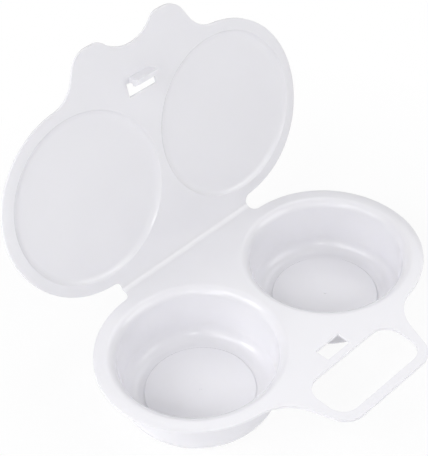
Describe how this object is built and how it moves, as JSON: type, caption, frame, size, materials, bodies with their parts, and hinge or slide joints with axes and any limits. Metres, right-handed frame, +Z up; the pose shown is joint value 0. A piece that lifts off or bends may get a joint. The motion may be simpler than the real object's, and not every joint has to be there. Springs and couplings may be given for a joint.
{
  "type": "microwave egg cooker",
  "caption": "White plastic microwave egg cooker: a flat tray with deep round cups and a handle loop, and a flat lid on a living hinge that snaps shut over them.",
  "frame": {"origin": "under the middle of the whole part's box as it stands with its lid up, on the plane that the cups' foot rings rest on", "axes": "+X along the hinge from the left cup to the right cup as seen from the handle, +Y from the handle to the hinge, +Z up out of the cups"},
  "size_m": [0.1902, 0.1708, 0.1524],
  "materials": {
    "white_polypropylene": "smooth gloss, faintly translucent"
  },
  "bodies": {
    "base": {"cup_tray": "white_polypropylene", "living_hinge": "white_polypropylene"},
    "lid": {"lid": "white_polypropylene"}
  },
  "joints": [
    {"name": "lid_fold", "type": "hinge", "parent": "base", "child": "lid", "pos_m": [0, 0.0524, 0.03165], "axis": [1, 0, 0], "range_deg": [-75.3, 104.7], "deforming": ["living_hinge"]}
  ]
}
